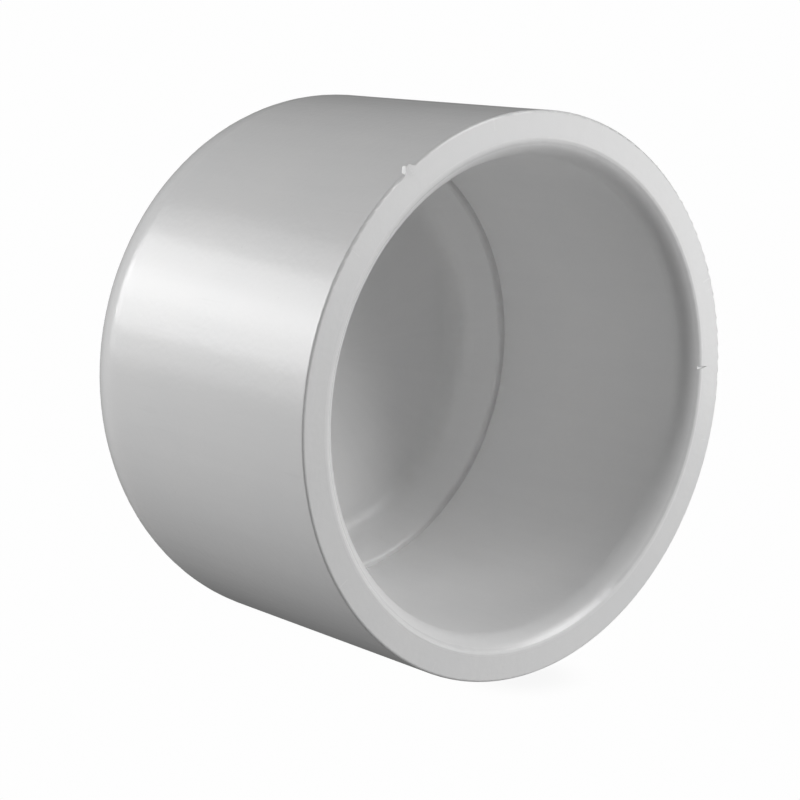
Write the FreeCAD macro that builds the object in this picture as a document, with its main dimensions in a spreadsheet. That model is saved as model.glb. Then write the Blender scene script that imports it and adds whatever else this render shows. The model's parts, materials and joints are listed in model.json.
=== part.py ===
import FreeCAD, Part
import math
import os
import Sketcher

# A slip cap for a nominal 1-1/2 inch rigid PVC pressure pipe: one injection moulding, closed at one
# end, with a plain socket that the pipe's end is cemented into.
#
# Frame: the cap lies on its side. X runs along its axis and +X points out of the mouth. The origin is
# on the axis in the plane of the pipe stop, where the cut end of the pipe comes to rest.

# Driving dimensions: alias, value in millimetres or degrees, what it measures.
DIMENSIONS = (
    ("mouth_diameter", 57.6, "outside diameter at the mouth"),
    ("overall_length", 39.0, "mouth plane to the outside of the closed end"),
    ("draft_angle", 0.63, "outside wall's draft, narrowing towards the closed end"),
    ("crown_radius", 8.2, "outside rounding between the wall and the closed end"),
    ("rim_edge_radius", 0.25, "rounding of the rim's outer edge"),
    ("socket_diameter", 48.4, "socket wall, a loose fit on a 48.26 pipe"),
    ("socket_depth", 28.5, "mouth plane to the pipe stop"),
    ("entry_radius", 2.6, "curve of the flared entry, tangent to the socket wall"),
    ("lip_diameter", 51.7, "where the flared entry meets the rim's face, in a crisp lip"),
    ("lip_radius", 0.6, "rounding of that lip"),
    ("stop_width", 0.7, "radial width of the ledge that stops the pipe"),
    ("stop_edge_radius", 0.45, "rounding of the ledge's inner edge"),
    ("throat_end_diameter", 43.8, "where the tapered throat behind the stop meets the closed end"),
    ("end_wall", 5.1, "thickness of the closed end"),
    ("end_fillet_radius", 3.0, "inside rounding between the throat and the closed end"),
    ("gate_clock_angle", 123.0, "where the gate was on the rim, from +Y towards +Z"),
    ("gate_width", 1.3, "width of the broken gate stub where it leaves the wall"),
    ("gate_tip_width", 0.4, "width of the gate stub's tip"),
    ("gate_length", 0.5, "length of the gate stub along the axis"),
    ("gate_height", 0.5, "how far the gate stub stands out of the wall"),
    ("gate_root", 0.8, "how far the gate stub's block reaches into the wall"),
    ("gate_edge_radius", 0.12, "rounding of the gate stub's outer corners"),
    ("nick_width", 0.7, "width of the small nick in the lip, at +Y"),
    ("nick_height", 1.0, "how far the nick runs out across the rim's face"),
    ("nick_depth", 0.18, "depth of the nick below the rim's face"),
)
SHEET = "Dimensions"
ORIGIN_POINT = (-1, 1)
HORIZONTAL_AXIS = -1
START, END = 1, 2
FULL_TURN = 360.0
SAME_PLACE = 1e-4


def make_sheet(document):
    """One row per driving dimension: its meaning, its value and an alias."""
    sheet = document.addObject("Spreadsheet::Sheet", SHEET)
    for row, (alias, value, meaning) in enumerate(DIMENSIONS, start=1):
        sheet.set(f"A{row}", meaning)
        sheet.set(f"B{row}", str(value))
        sheet.setAlias(f"B{row}", alias)
    document.recompute()
    return sheet


def bind(thing, target, formula):
    """Drive one property or named constraint from the sheet; {word} stands for an alias."""
    names = {alias: f"{SHEET}.{alias}" for alias, _, _ in DIMENSIONS}
    thing.setExpression(target, formula.format(**names))


def origin_plane(body, role):
    """The body's own origin plane with this role."""
    return next(item for item in body.Origin.OriginFeatures if item.Role == role)


def new_sketch(body, name, role):
    """An empty sketch flat on one of the body's origin planes."""
    sketch = body.newObject("Sketcher::SketchObject", name)
    sketch.AttachmentSupport = [(origin_plane(body, role), "")]
    sketch.MapMode = "FlatFace"
    return sketch


def add_chain(sketch, corners):
    """Joined straight lines, line i running from corner i to corner i + 1."""
    points = [FreeCAD.Vector(*corner, 0) for corner in corners]
    for i, (start, end) in enumerate(zip(points, points[1:])):
        sketch.addGeometry(Part.LineSegment(start, end))
        if i > 0:
            sketch.addConstraint(Sketcher.Constraint("Coincident", i - 1, END, i, START))


def add_loop(sketch, corners):
    """A closed loop of straight lines, line i running from corner i to the next one."""
    add_chain(sketch, list(corners) + [corners[0]])
    last_line = len(corners) - 1
    sketch.addConstraint(Sketcher.Constraint("Coincident", last_line, END, 0, START))


def dimension(sketch, name, formula, *constraint):
    """Add a named dimension to the sketch and drive it from the sheet."""
    index = sketch.addConstraint(Sketcher.Constraint(*constraint))
    sketch.renameConstraint(index, name)
    bind(sketch, f"Constraints.{name}", formula)


def revolve(body, kind, name, sketch):
    """Turn a half-section about the X axis, to add material or to cut it away."""
    feature = body.newObject(kind, name)
    feature.Profile = sketch
    feature.ReferenceAxis = (sketch, ["H_Axis"])
    feature.Angle = FULL_TURN
    body.Document.recompute()
    return feature


def outer_section(body, sheet):
    """Half-section of the solid plug: flat mouth, drafted wall, flat closed end."""
    mouth = sheet.socket_depth
    back = sheet.socket_depth - sheet.overall_length
    radius = sheet.mouth_diameter / 2
    sketch = new_sketch(body, "outer_section", "XZ_Plane")
    add_loop(sketch, [(mouth, 0), (back, 0), (back, radius - 1), (mouth, radius)])
    axis_line, end_line, wall_line, mouth_line = range(4)
    sketch.addConstraint(Sketcher.Constraint("PointOnObject", axis_line, START, HORIZONTAL_AXIS))
    sketch.addConstraint(Sketcher.Constraint("Horizontal", axis_line))
    sketch.addConstraint(Sketcher.Constraint("Vertical", end_line))
    sketch.addConstraint(Sketcher.Constraint("Vertical", mouth_line))
    dimension(
        sketch, "mouth_position", "{socket_depth}",
        "DistanceX", *ORIGIN_POINT, axis_line, START, mouth,
    )
    dimension(
        sketch, "length", "{overall_length}",
        "DistanceX", axis_line, END, axis_line, START, sheet.overall_length,
    )
    dimension(
        sketch, "mouth_radius", "{mouth_diameter} / 2",
        "DistanceY", mouth_line, END, mouth_line, START, radius,
    )
    dimension(sketch, "draft", "{draft_angle}", "Angle", wall_line, math.radians(sheet.draft_angle))
    return sketch


def entry_curve(sheet):
    """The flared entry's arc: tangent to the socket wall, cut off by the mouth plane at the lip."""
    socket = sheet.socket_diameter / 2
    centre_radius = socket + sheet.entry_radius
    lip_angle = math.asin((centre_radius - sheet.lip_diameter / 2) / sheet.entry_radius)
    centre_x = sheet.socket_depth - sheet.entry_radius * math.cos(lip_angle)
    circle = Part.Circle(
        FreeCAD.Vector(centre_x, centre_radius, 0), FreeCAD.Vector(0, 0, 1), sheet.entry_radius
    )
    return Part.ArcOfCircle(circle, -math.pi / 2, -lip_angle)


def hollow_section(body, sheet):
    """Half-section of the hollow: flared entry, socket, pipe stop, tapered throat, flat inner end."""
    mouth = sheet.socket_depth
    floor = sheet.socket_depth - sheet.overall_length + sheet.end_wall
    socket = sheet.socket_diameter / 2
    throat = socket - sheet.stop_width
    throat_end = sheet.throat_end_diameter / 2
    lip = sheet.lip_diameter / 2
    entry = entry_curve(sheet)
    sketch = new_sketch(body, "hollow_section", "XZ_Plane")
    add_chain(
        sketch,
        [
            (mouth, lip), (mouth, 0), (floor, 0), (floor, throat_end),
            (0, throat), (0, socket), (entry.StartPoint.x, socket),
        ],
    )
    sketch.addGeometry(entry)
    mouth_line, axis_line, floor_line, _, stop_line, socket_line, entry_arc = range(7)
    sketch.addConstraint(Sketcher.Constraint("Tangent", socket_line, END, entry_arc, START))
    sketch.addConstraint(Sketcher.Constraint("Coincident", entry_arc, END, mouth_line, START))
    sketch.addConstraint(Sketcher.Constraint("PointOnObject", axis_line, START, HORIZONTAL_AXIS))
    for line in (axis_line, socket_line):
        sketch.addConstraint(Sketcher.Constraint("Horizontal", line))
    for line in (floor_line, stop_line, mouth_line):
        sketch.addConstraint(Sketcher.Constraint("Vertical", line))
    dimension(
        sketch, "hollow_depth", "{overall_length} - {end_wall}",
        "DistanceX", axis_line, END, axis_line, START, mouth - floor,
    )
    dimension(
        sketch, "depth", "{socket_depth}",
        "DistanceX", stop_line, END, mouth_line, START, sheet.socket_depth,
    )
    dimension(
        sketch, "mouth_position", "{socket_depth}",
        "DistanceX", *ORIGIN_POINT, axis_line, START, mouth,
    )
    dimension(
        sketch, "lip_ring_radius", "{lip_diameter} / 2",
        "DistanceY", mouth_line, END, mouth_line, START, lip,
    )
    dimension(
        sketch, "socket_radius", "{socket_diameter} / 2",
        "DistanceY", *ORIGIN_POINT, socket_line, START, socket,
    )
    dimension(
        sketch, "throat_end_radius", "{throat_end_diameter} / 2",
        "DistanceY", floor_line, START, floor_line, END, throat_end,
    )
    dimension(
        sketch, "ledge", "{stop_width}",
        "DistanceY", stop_line, START, stop_line, END, sheet.stop_width,
    )
    dimension(sketch, "entry_radius", "{entry_radius}", "Radius", entry_arc, sheet.entry_radius)
    return sketch


def ring_edge(shape, position, inner=False):
    """Name of the widest (or narrowest) full circle about the X axis in the plane at this X."""
    rings = []
    for number, edge in enumerate(shape.Edges, start=1):
        curve = edge.Curve
        if not isinstance(curve, Part.Circle):
            continue
        if abs(curve.Center.x - position) < SAME_PLACE and math.hypot(*curve.Center[1:]) < SAME_PLACE:
            rings.append((curve.Radius, f"Edge{number}"))
    return min(rings)[1] if inner else max(rings)[1]


def round_edges(body, name, edges, formula):
    """Round the named edges of the body as it stands, to a radius driven from the sheet."""
    fillet = body.newObject("PartDesign::Fillet", name)
    fillet.Base = (fillet.BaseFeature, edges)
    bind(fillet, "Radius", formula)
    body.Document.recompute()


def round_ring(body, name, position, formula, inner=False):
    """Round the circular edge in the plane at this X."""
    edge = ring_edge(body.Tip.Shape, position, inner)
    round_edges(body, name, [edge], formula)


def gate_stub(body, sheet):
    """The broken stub of the gate on the rim's outer edge: a wedge padded back from the mouth."""
    sketch = new_sketch(body, "gate_section", "YZ_Plane")
    bind(sketch, "AttachmentOffset.Base.z", "{socket_depth}")
    bind(sketch, "AttachmentOffset.Rotation.Angle", "{gate_clock_angle}")
    sketch.recompute()
    inner = sheet.mouth_diameter / 2 - sheet.gate_root
    outer = sheet.mouth_diameter / 2 + sheet.gate_height
    flare = (sheet.gate_width - sheet.gate_tip_width) / sheet.gate_height
    root_width = sheet.gate_width + flare * sheet.gate_root
    half_root = root_width / 2
    half_tip = sheet.gate_tip_width / 2
    add_loop(sketch, [(inner, -half_root), (outer, -half_tip), (outer, half_tip), (inner, half_root)])
    outer_side, inner_side = 1, 3
    for side in (outer_side, inner_side):
        sketch.addConstraint(
            Sketcher.Constraint("Symmetric", side, START, side, END, HORIZONTAL_AXIS)
        )
    dimension(
        sketch, "tip_width", "{gate_tip_width}",
        "DistanceY", outer_side, START, outer_side, END, sheet.gate_tip_width,
    )
    dimension(
        sketch, "root_width",
        "{gate_width} + ({gate_width} - {gate_tip_width}) / {gate_height} * {gate_root}",
        "DistanceY", inner_side, END, inner_side, START, root_width,
    )
    dimension(
        sketch, "reach", "{mouth_diameter} / 2 + {gate_height}",
        "DistanceX", *ORIGIN_POINT, outer_side, START, outer,
    )
    dimension(
        sketch, "block", "{gate_root} + {gate_height}",
        "DistanceX", inner_side, START, outer_side, END, sheet.gate_root + sheet.gate_height,
    )
    pad = body.newObject("PartDesign::Pad", "gate_stub")
    pad.Profile = sketch
    pad.Reversed = True
    bind(pad, "Length", "{gate_length}")
    body.Document.recompute()


def rim_nick(body, sheet):
    """A small wedge-shaped nick cut into the lip at +Y, tapering out across the rim's face."""
    sketch = new_sketch(body, "nick_section", "YZ_Plane")
    bind(sketch, "AttachmentOffset.Base.z", "{socket_depth}")
    sketch.recompute()
    root = sheet.socket_diameter / 2
    tip = sheet.lip_diameter / 2 + sheet.nick_height
    half = sheet.nick_width / 2
    add_loop(sketch, [(root, -half), (tip, 0), (root, half)])
    lower_side, root_side = 0, 2
    sketch.addConstraint(
        Sketcher.Constraint("Symmetric", root_side, START, root_side, END, HORIZONTAL_AXIS)
    )
    sketch.addConstraint(Sketcher.Constraint("PointOnObject", lower_side, END, HORIZONTAL_AXIS))
    dimension(
        sketch, "width", "{nick_width}",
        "DistanceY", root_side, END, root_side, START, sheet.nick_width,
    )
    dimension(
        sketch, "root", "{socket_diameter} / 2",
        "DistanceX", *ORIGIN_POINT, root_side, START, root,
    )
    dimension(
        sketch, "tip", "{lip_diameter} / 2 + {nick_height}",
        "DistanceX", *ORIGIN_POINT, lower_side, END, tip,
    )
    whole_volume = body.Tip.Shape.Volume
    pocket = body.newObject("PartDesign::Pocket", "rim_nick")
    pocket.Profile = sketch
    bind(pocket, "Length", "{nick_depth}")
    body.Document.recompute()
    if not pocket.Shape.Volume < whole_volume:
        raise RuntimeError("the nick didn't cut the rim")


def stub_edges(shape, sheet):
    """Names of the stub's straight edges that stand clear of the wall."""
    reach = sheet.mouth_diameter / 2 + sheet.gate_height
    names = []
    for number, edge in enumerate(shape.Edges, start=1):
        ends = [math.hypot(vertex.Point.y, vertex.Point.z) for vertex in edge.Vertexes]
        if len(ends) == 2 and min(ends) > reach - SAME_PLACE:
            names.append(f"Edge{number}")
    return names


def cap_body(document, sheet):
    """The whole cap: a turned plug, hollowed out, with its edges rounded and the gate stub left on."""
    body = document.addObject("PartDesign::Body", "cap_body")
    body.Label = "cap_body"
    mouth = sheet.socket_depth
    back = sheet.socket_depth - sheet.overall_length
    floor = back + sheet.end_wall

    plug = revolve(body, "PartDesign::Revolution", "plug", outer_section(body, sheet))
    solid_volume = plug.Shape.Volume
    round_ring(body, "crown", back, "{crown_radius}")
    hollow = revolve(body, "PartDesign::Groove", "hollow", hollow_section(body, sheet))
    hollow_volume = math.pi * (sheet.socket_diameter / 2) ** 2 * sheet.socket_depth
    if hollow.Shape.Volume > solid_volume - hollow_volume:
        raise RuntimeError("the hollow didn't cut the plug")

    round_ring(body, "end_fillet", floor, "{end_fillet_radius}")
    round_ring(body, "stop_edge", 0, "{stop_edge_radius}", inner=True)
    round_ring(body, "lip", mouth, "{lip_radius}", inner=True)
    round_ring(body, "rim_edge", mouth, "{rim_edge_radius}")
    gate_stub(body, sheet)
    round_edges(body, "gate_corners", stub_edges(body.Tip.Shape, sheet), "{gate_edge_radius}")
    rim_nick(body, sheet)
    return body


def check(document, bodies):
    """Stop before anything is written if a feature failed or a sub-part isn't one good solid."""
    for item in document.Objects:
        if "Invalid" in item.State or "Error" in item.State:
            raise RuntimeError(f"{item.Name} failed: {item.State}")
    for body in bodies:
        shape = body.Shape
        if shape.isNull() or not shape.isValid() or len(shape.Solids) != 1:
            raise RuntimeError(f"{body.Label} isn't one valid solid")


def main():
    document = FreeCAD.newDocument("pipe_cap")
    sheet = make_sheet(document)
    bodies = [cap_body(document, sheet)]
    document.recompute()
    check(document, bodies)
    os.makedirs("parts", exist_ok=True)
    for body in bodies:
        body.Shape.exportStep(f"parts/{body.Label}.step")
        print(f"{body.Label}: {body.Shape.Volume:.0f} mm3")


main()
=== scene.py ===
import json
import math

import bpy
from mathutils import Matrix, Vector


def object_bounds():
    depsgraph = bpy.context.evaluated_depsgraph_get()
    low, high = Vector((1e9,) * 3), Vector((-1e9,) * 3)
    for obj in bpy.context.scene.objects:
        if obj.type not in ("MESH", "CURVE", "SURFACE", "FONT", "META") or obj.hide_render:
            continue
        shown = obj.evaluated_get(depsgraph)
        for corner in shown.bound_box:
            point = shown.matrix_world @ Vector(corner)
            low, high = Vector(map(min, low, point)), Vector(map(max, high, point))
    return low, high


# A white PVC slip cap lying on its side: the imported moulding, its material, a pale floor and soft
# lights. X is the cap's axis and points out of the mouth, and Z is up. The scene is in metres, and
# the materials are worked out in millimetres.

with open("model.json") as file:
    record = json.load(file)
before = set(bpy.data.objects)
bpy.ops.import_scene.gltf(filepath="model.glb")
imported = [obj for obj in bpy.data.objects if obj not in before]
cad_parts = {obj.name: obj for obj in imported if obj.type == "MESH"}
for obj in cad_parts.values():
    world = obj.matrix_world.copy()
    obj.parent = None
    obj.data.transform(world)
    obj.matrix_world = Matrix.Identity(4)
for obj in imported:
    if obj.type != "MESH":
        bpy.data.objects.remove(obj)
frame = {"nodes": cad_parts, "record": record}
cad_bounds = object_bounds()

MM = 0.001
WHITE = (1, 1, 1, 1)

LOWEST, HIGHEST = cad_bounds
MOUTH_X = HIGHEST[0]
MOUTH_RADIUS = -LOWEST[2]
LENGTH = MOUTH_X - LOWEST[0]
MIDDLE = Vector((MOUTH_X - LENGTH / 2, 0, 0))

# The camera. Azimuth 0 looks along +Y and 90 along -X. Distance and shift are in mouth radii.
VIEW_AZIMUTH = 48.67
VIEW_ELEVATION = 11.71
CAMERA_DISTANCE = 8.31
CAMERA_SHIFT = 0.440
CAMERA_LENS = 108
CAMERA_SENSOR = 36

# Softboxes: name, bearing from the camera (positive is its right), elevation, width, height, watts.
# Bearings and elevations are seen from the middle of the cap.
SOFTBOX_DISTANCE = 0.35
SOFTBOXES = (
    ("left_fill", -55, 10, 0.12, 0.12, 0.18),
    ("right_key", 75, 27, 0.14, 0.18, 0.60),
    ("right_low", 88, -4, 0.16, 0.10, 0.15),
    ("right_under", 90, -35, 0.20, 0.20, 0.13),
)
# The left key is a stack of strips that fades towards its top and bottom edges.
KEY_BEARING = -97
KEY_ELEVATION = 18
KEY_WIDTH = 0.25
KEY_WATTS = 0.65
KEY_STRIPS = 5
KEY_STRIP_STEP = 8

# The surround's strength as a light, and as the camera sees it and the floor.
AMBIENT = 0.12
BACKDROP = 0.99
# A pale cavity needs this many bounces of light before its depth stops getting brighter.
CAVITY_BOUNCES = 8

# The floor's size in metres. The shadow where the cap touches it: its depth, and how far it
# spreads in millimetres.
FLOOR_SIZE = 8
SHADOW_DEPTH = 0.06
SHADOW_SPREAD = 9

# The moulding's landmarks in millimetres, for placing the marks in its material.
SOCKET = next(mount for mount in frame["record"]["mounts"] if mount["name"] == "socket")
STOP_X = SOCKET["pos_m"][0] / MM
SOCKET_RADIUS = SOCKET["dims"]["r_mm"]
MOUTH_FACE_X = MOUTH_X / MM
RIM_RADIUS = MOUTH_RADIUS / MM
LIP_RADIUS = 25.85
END_FACE_X = LOWEST[0] / MM
END_WALL = 5.1
INNER_END_X = END_FACE_X + END_WALL
INNER_END_RADIUS = 21.9
GATE_ANGLE = math.radians(123)
# The spans of radius or x, in millimetres, over which a place fades in or out.
OUTSIDE_RADII = (RIM_RADIUS - 1.6, RIM_RADIUS - 1.2)
HOLLOW_RADII = (LIP_RADIUS - 0.7, LIP_RADIUS - 0.1)
HOLLOW_END_XS = (INNER_END_X - 2, INNER_END_X - 1)
SOCKET_END_XS = (STOP_X - 0.2, STOP_X + 0.2)
RIM_FACE_XS = (MOUTH_FACE_X - 0.12, MOUTH_FACE_X - 0.02)
RIM_FACE_RADII = (LIP_RADIUS - 0.4, LIP_RADIUS + 0.1)
# How far from its landmark a place fades out, in millimetres.
INNER_END_REACH = 0.3
END_FACE_REACH = 0.4
STOP_REACH = 1.6
CORNER_REACH = 2.2
LIP_REACH = 0.45
RIM_EDGE_REACH = 0.4
GATE_REACH = 1.3

PVC_ALBEDO = 0.88
PVC_ROUGHNESS = 0.2
PVC_IOR = 1.53
# Noises: the width of their lumps in millimetres, and their levels of finer detail. Mottle is
# cloudy tone, flow is streaks left by the melt, peel is a slight waviness in the gloss, and
# breaks interrupt wear and the grime with painted shade in the inner corners.
MOTTLE = (9.0, 3.0)
FLOW = (1.6, 2.0)
DRAW_LINES = (0.35, 0.0)
TOOL_RINGS = (0.25, 0.0)
PEEL = (0.7, 1.0)
GRAIN = (0.15, 2.0)
DRAG_STROKES = (0.3, 0.0)
DRAG_PATCHES = (7.0, 0.0)
BREAKS = (1.3, 1.0)
# How many times longer than wide the marks along the axis are.
FLOW_STRETCH = 18.0
DRAW_STRETCH = 30.0
DRAG_STRETCH = 25.0
# The noise levels between which a patchy mark fades in.
DRAG_STROKE_LEVELS = (0.16, 0.28)
DRAG_PATCH_LEVELS = (0.0, 0.15)
BREAK_LEVELS = (-0.15, 0.15)
# Specks: their spacing and radius in millimetres, and the share of places that have one.
SPECKS = (2.6, 0.045, 0.3)

# How strongly each mark shows: in the tone and the warmth as a share of the plain colour, in the
# roughness, and in the surface's height in millimetres.
TONE_SHARES = {
    "mottle": 0.045,
    "flow": 0.03,
    "grain": 0.012,
    "worn": 0.015,
    "drag": -0.015,
    # Painted shade, with grime, at the pipe stop and the inner end's corner.
    "grime_and_painted_shade": -0.02,
    "specks": -0.12,
}
WARMTH_SHARES = {"mottle": 0.01, "grime_and_painted_shade": 0.004}
ROUGHNESS_SHARES = {
    "mottle": 0.06,
    "flow": 0.05,
    "hollow": 0.12,
    "faces": 0.05,
    "lip": 0.1,
    "worn": 0.07,
    "drag": 0.04,
    "grime_and_painted_shade": 0.08,
}
HEIGHT_SHARES = {
    "flow": 0.004,
    "peel": 0.013,
    "grain": 0.0004,
    "torn": 0.05,
    "draw_lines": 0.0012,
    "tool_rings": 0.0012,
}


class Graph:
    """Short names for the shader nodes used here. A value is a socket, a number or a colour."""

    def __init__(self, tree):
        self.tree = tree

    def feed(self, socket, value):
        """Link this value to the socket, or set it there."""
        if isinstance(value, bpy.types.NodeSocket):
            self.tree.links.new(value, socket)
        else:
            socket.default_value = value

    def build(self, kind, values=(), **settings):
        """A node with these settings whose first inputs get these values."""
        node = self.tree.nodes.new(kind)
        for name, setting in settings.items():
            setattr(node, name, setting)
        for socket, value in zip(node.inputs, values):
            self.feed(socket, value)
        return node

    def math(self, operation, *values):
        """One step of arithmetic on these values."""
        return self.build("ShaderNodeMath", values, operation=operation).outputs[0]

    def chain(self, operation, values):
        """The operation on the first two values, then on the result and the next, to the last."""
        result, *others = values
        for value in others:
            result = self.math(operation, result, value)
        return result

    def add(self, *values):
        return self.chain("ADD", values)

    def times(self, *values):
        return self.chain("MULTIPLY", values)

    def minus(self, value, other):
        return self.math("SUBTRACT", value, other)

    def total(self, start, marks, shares):
        """The start plus each mark named in shares, times its share."""
        return self.add(start, *(self.times(marks[name], share) for name, share in shares.items()))

    def ramp(self, value, low, high, start=0.0, end=1.0):
        """Smoothly from start, where value is low, to end, where it is high."""
        values = (value, low, high, start, end)
        return self.build("ShaderNodeMapRange", values, interpolation_type="SMOOTHSTEP").outputs[0]

    def near(self, value, target, reach):
        """1 where value is at its target, falling to 0 at this reach."""
        gap = self.math("ABSOLUTE", self.minus(value, target))
        return self.ramp(gap, 0.0, reach, 1.0, 0.0)

    def distance(self, across, along):
        """The hypotenuse of these two sides."""
        squares = [self.math("POWER", side, 2.0) for side in (across, along)]
        return self.math("SQRT", self.add(*squares))

    def vector(self, *parts):
        return self.build("ShaderNodeCombineXYZ", parts).outputs[0]

    def parts(self, vector):
        return self.build("ShaderNodeSeparateXYZ", (vector,)).outputs

    def millimetres(self):
        """The shaded point's place on its own object."""
        place = self.build("ShaderNodeTexCoord").outputs["Object"]
        scaled = self.build("ShaderNodeVectorMath", (place,), operation="SCALE")
        self.feed(scaled.inputs["Scale"], 1 / MM)
        return scaled.outputs[0]

    def noise(self, vector, size, detail):
        """Soft noise within 0.5 of 0, with lumps about this many millimetres across."""
        node = self.build("ShaderNodeTexNoise")
        self.feed(node.inputs["Vector"], vector)
        self.feed(node.inputs["Scale"], 1 / size)
        self.feed(node.inputs["Detail"], detail)
        return self.minus(node.outputs["Fac"], 0.5)

    def specks(self, vector, spacing, radius, share):
        """1 on scattered round dots: this far apart, this big, in this share of the places."""
        node = self.build("ShaderNodeTexVoronoi")
        self.feed(node.inputs["Vector"], vector)
        self.feed(node.inputs["Scale"], 1 / spacing)
        dot = self.ramp(node.outputs["Distance"], radius / spacing, 2 * radius / spacing, 1.0, 0.0)
        chance = self.build("ShaderNodeSeparateColor", (node.outputs["Color"],)).outputs[0]
        return self.times(dot, self.math("LESS_THAN", chance, share))


class CapPlaces:
    """Where on the moulding a shaded point is, in millimetres, and which places it belongs to."""

    def __init__(self, graph):
        self.graph = graph
        self.point = graph.millimetres()
        self.x, self.y, self.z = graph.parts(self.point)
        self.radius = graph.distance(self.y, self.z)
        # A unit vector out from the axis, which has no seam where an angle would have one.
        self.out_y = graph.math("DIVIDE", self.y, self.radius)
        self.out_z = graph.math("DIVIDE", self.z, self.radius)

        self.outside = graph.ramp(self.radius, *OUTSIDE_RADII)
        self.hollow = graph.times(
            graph.ramp(self.radius, *HOLLOW_RADII, 1.0, 0.0),
            graph.ramp(self.x, *HOLLOW_END_XS),
        )
        self.socket = graph.times(self.hollow, graph.ramp(self.x, *SOCKET_END_XS))
        self.faces = graph.add(
            graph.times(graph.ramp(self.x, *RIM_FACE_XS), graph.ramp(self.radius, *RIM_FACE_RADII)),
            graph.near(self.x, END_FACE_X, END_FACE_REACH),
            graph.times(self.hollow, graph.near(self.x, INNER_END_X, INNER_END_REACH)),
        )
        self.stop = self.ring(STOP_X, SOCKET_RADIUS, STOP_REACH)
        self.corner = self.ring(INNER_END_X, INNER_END_RADIUS, CORNER_REACH)
        self.lip = self.ring(MOUTH_FACE_X, LIP_RADIUS, LIP_REACH)
        self.rim_edge = self.ring(MOUTH_FACE_X, RIM_RADIUS, RIM_EDGE_REACH)
        gate_gap = graph.distance(
            graph.minus(self.y, RIM_RADIUS * math.cos(GATE_ANGLE)),
            graph.minus(self.z, RIM_RADIUS * math.sin(GATE_ANGLE)),
        )
        self.gate = graph.times(
            graph.near(gate_gap, 0.0, GATE_REACH),
            graph.near(self.x, MOUTH_FACE_X, GATE_REACH),
        )

    def ring(self, x, radius, reach):
        """1 along the circle at this x and radius, falling to 0 at this reach from it."""
        across = self.graph.minus(self.radius, radius)
        along = self.graph.minus(self.x, x)
        return self.graph.near(self.graph.distance(across, along), 0.0, reach)

    def around(self, radius, stretch):
        """Coordinates that follow the wall, with lengths along the axis divided by this stretch."""
        return self.graph.vector(
            self.graph.math("DIVIDE", self.x, stretch),
            self.graph.times(self.out_y, radius),
            self.graph.times(self.out_z, radius),
        )


def pvc_marks(graph):
    """The moulding's marks by name, and the places where its gloss differs.

    Textures run either side of 0, and everything else upwards from 0.
    """
    at = CapPlaces(graph)
    grain = graph.noise(at.point, *GRAIN)
    draw_lines = graph.noise(at.around(SOCKET_RADIUS, DRAW_STRETCH), *DRAW_LINES)
    tool_rings = graph.noise(graph.vector(at.radius, at.out_y, at.out_z), *TOOL_RINGS)
    drag_strokes = graph.noise(at.around(RIM_RADIUS, DRAG_STRETCH), *DRAG_STROKES)
    drag_patches = graph.noise(at.point, *DRAG_PATCHES)
    broken = graph.ramp(graph.noise(at.point, *BREAKS), *BREAK_LEVELS)
    return {
        "mottle": graph.noise(at.point, *MOTTLE),
        "flow": graph.noise(at.around(RIM_RADIUS, FLOW_STRETCH), *FLOW),
        "peel": graph.noise(at.point, *PEEL),
        "grain": grain,
        "torn": graph.times(grain, at.gate),
        "draw_lines": graph.times(draw_lines, at.socket),
        "tool_rings": graph.times(tool_rings, at.faces),
        "drag": graph.times(
            graph.ramp(drag_strokes, *DRAG_STROKE_LEVELS),
            graph.ramp(drag_patches, *DRAG_PATCH_LEVELS),
            at.outside,
        ),
        "worn": graph.times(graph.add(at.lip, at.rim_edge, at.gate), broken),
        # Painted shade and grime: the pipe stop and the inner end's corner are painted a little
        # darker, where shade falls in these recesses, and made warmer and rougher like grime.
        "grime_and_painted_shade": graph.times(graph.add(at.stop, at.corner), broken),
        "specks": graph.specks(at.point, *SPECKS),
        "hollow": at.hollow,
        "faces": at.faces,
        "lip": at.lip,
    }


def moulded_pvc():
    """Glossy white PVC with the faint marks that moulding and handling leave on it, and a little
    painted shade in its inner corners.
    """
    material = bpy.data.materials.new("moulded_pvc")
    material.use_nodes = True
    shader = material.node_tree.nodes["Principled BSDF"]
    graph = Graph(material.node_tree)
    marks = pvc_marks(graph)

    grey = graph.times(graph.total(1.0, marks, TONE_SHARES), PVC_ALBEDO)
    warmth = graph.total(1.0, marks, WARMTH_SHARES)
    red = graph.times(grey, warmth)
    blue = graph.math("DIVIDE", grey, warmth)
    colour = graph.build("ShaderNodeCombineColor", (red, grey, blue)).outputs[0]
    graph.feed(shader.inputs["Base Color"], colour)
    graph.feed(shader.inputs["Roughness"], graph.total(PVC_ROUGHNESS, marks, ROUGHNESS_SHARES))
    graph.feed(shader.inputs["IOR"], PVC_IOR)

    bump = graph.build("ShaderNodeBump")
    graph.feed(bump.inputs["Strength"], 1)
    graph.feed(bump.inputs["Distance"], MM)
    graph.feed(bump.inputs["Height"], graph.total(0.0, marks, HEIGHT_SHARES))
    graph.feed(shader.inputs["Normal"], bump.outputs[0])
    return material


def pale_floor():
    """A material that shows the camera an even tone, with a faint shadow where the cap touches."""
    material = bpy.data.materials.new("pale_floor")
    material.use_nodes = True
    material.node_tree.nodes.clear()
    graph = Graph(material.node_tree)
    x, y, _ = graph.parts(graph.millimetres())
    beyond_end = graph.minus(graph.math("ABSOLUTE", x), LENGTH / MM / 2)
    along = graph.math("MAXIMUM", beyond_end, 0.0)
    shadow = graph.near(graph.distance(along, y), 0.0, SHADOW_SPREAD)
    tone = graph.ramp(shadow, 0.0, 1.0, BACKDROP, BACKDROP - SHADOW_DEPTH)
    glow = graph.build("ShaderNodeEmission", (WHITE, tone)).outputs[0]
    graph.build("ShaderNodeOutputMaterial", (glow,))
    return material


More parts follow.
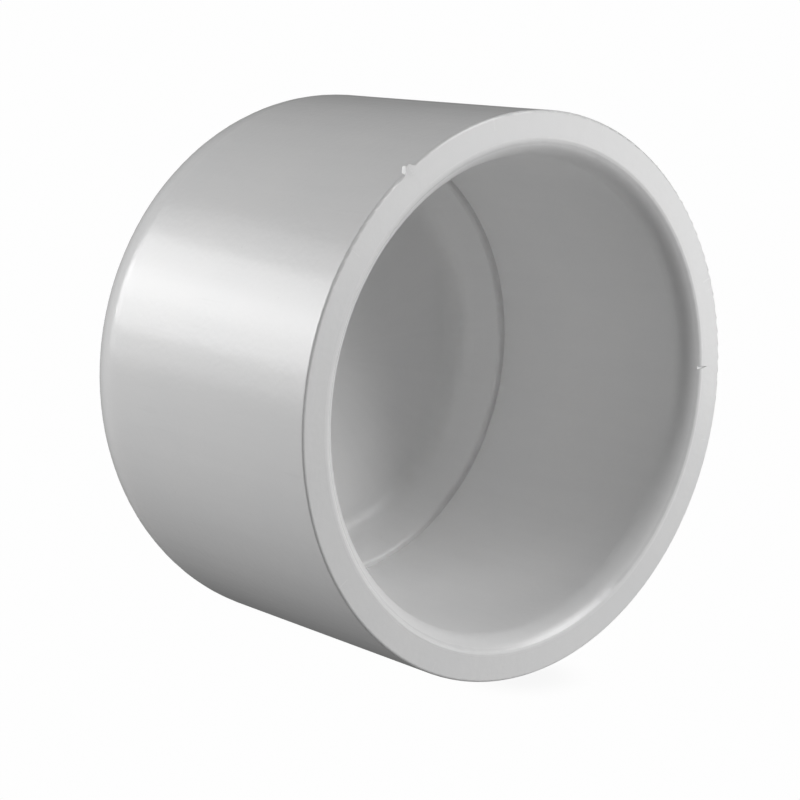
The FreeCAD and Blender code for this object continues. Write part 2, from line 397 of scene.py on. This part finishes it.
def add_floor():
    """A pale floor for the camera only: it neither lights the cap nor shows in its gloss."""
    bpy.ops.mesh.primitive_plane_add(size=FLOOR_SIZE, location=(MIDDLE.x, 0, LOWEST[2]))
    floor = bpy.context.object
    floor.name = "floor"
    floor.data.materials.append(pale_floor())
    floor.visible_shadow = False
    floor.visible_diffuse = False
    floor.visible_glossy = False


def add_world():
    """An even surround that looks bright to the camera and lights the cap dimly."""
    world = bpy.data.worlds.new("studio")
    world.use_nodes = True
    world.node_tree.nodes.clear()
    bpy.context.scene.world = world
    graph = Graph(world.node_tree)
    # 1 where the camera sees the surround itself, 0 where the surround is only a light.
    seen = graph.build("ShaderNodeLightPath").outputs["Is Camera Ray"]
    strength = graph.ramp(seen, 0.0, 1.0, AMBIENT, BACKDROP)
    background = graph.build("ShaderNodeBackground", (WHITE, strength)).outputs[0]
    graph.build("ShaderNodeOutputWorld", (background,))


def view_axes():
    """The camera's right, up and backward directions."""
    azimuth = math.radians(VIEW_AZIMUTH)
    elevation = math.radians(VIEW_ELEVATION)
    back = Vector((
        math.sin(azimuth) * math.cos(elevation),
        -math.cos(azimuth) * math.cos(elevation),
        math.sin(elevation),
    ))
    right = Vector((math.cos(azimuth), math.sin(azimuth), 0))
    return right, back.cross(right), back


def link(thing):
    """Put this object in the scene."""
    bpy.context.scene.collection.objects.link(thing)
    return thing


def add_camera():
    """The scene's camera, with the cap's mouth a little to the right of its view's middle."""
    right, up, back = view_axes()
    mouth_centre = Vector((MOUTH_X, 0, 0))
    place = mouth_centre + (back * CAMERA_DISTANCE - right * CAMERA_SHIFT) * MOUTH_RADIUS
    camera = link(bpy.data.objects.new("camera", bpy.data.cameras.new("camera")))
    camera.data.lens = CAMERA_LENS
    camera.data.sensor_width = CAMERA_SENSOR
    camera.data.clip_start = MOUTH_RADIUS
    camera.matrix_world = Matrix.LocRotScale(place, Matrix((right, up, back)).transposed(), None)
    bpy.context.scene.camera = camera


def add_softbox(name, bearing, elevation, width, height, watts):
    """A soft rectangular light aimed at the cap's middle, seen by the cap but not the camera."""
    right, _, back = view_axes()
    front = Vector((back.x, back.y, 0)).normalized()
    bearing = math.radians(bearing)
    elevation = math.radians(elevation)
    level = front * math.cos(bearing) + right * math.sin(bearing)
    direction = level * math.cos(elevation) + Vector((0, 0, math.sin(elevation)))
    light = bpy.data.lights.new(name, "AREA")
    light.shape = "RECTANGLE"
    light.size = width
    light.size_y = height
    light.energy = watts
    box = link(bpy.data.objects.new(name, light))
    box.location = MIDDLE + direction * SOFTBOX_DISTANCE
    box.rotation_mode = "QUATERNION"
    box.rotation_quaternion = (-direction).to_track_quat("-Z", "Y")
    box.visible_camera = False


def add_graded_key():
    """The left key light, brightest across its middle strip."""
    offsets = [(i - (KEY_STRIPS - 1) / 2) * KEY_STRIP_STEP for i in range(KEY_STRIPS)]
    reach = (KEY_STRIPS + 1) * KEY_STRIP_STEP / 2
    weights = [math.cos(math.pi / 2 * offset / reach) ** 2 for offset in offsets]
    height = SOFTBOX_DISTANCE * math.radians(KEY_STRIP_STEP)
    for i, (offset, weight) in enumerate(zip(offsets, weights)):
        watts = KEY_WATTS * weight / sum(weights)
        add_softbox(f"left_key_{i}", KEY_BEARING, KEY_ELEVATION + offset, KEY_WIDTH, height, watts)


bpy.context.scene.view_settings.view_transform = "Standard"
bpy.context.scene.cycles.diffuse_bounces = CAVITY_BOUNCES
add_camera()
add_world()
add_floor()
for softbox in SOFTBOXES:
    add_softbox(*softbox)
add_graded_key()
frame["nodes"]["cap_body"].data.materials[0] = moulded_pvc()
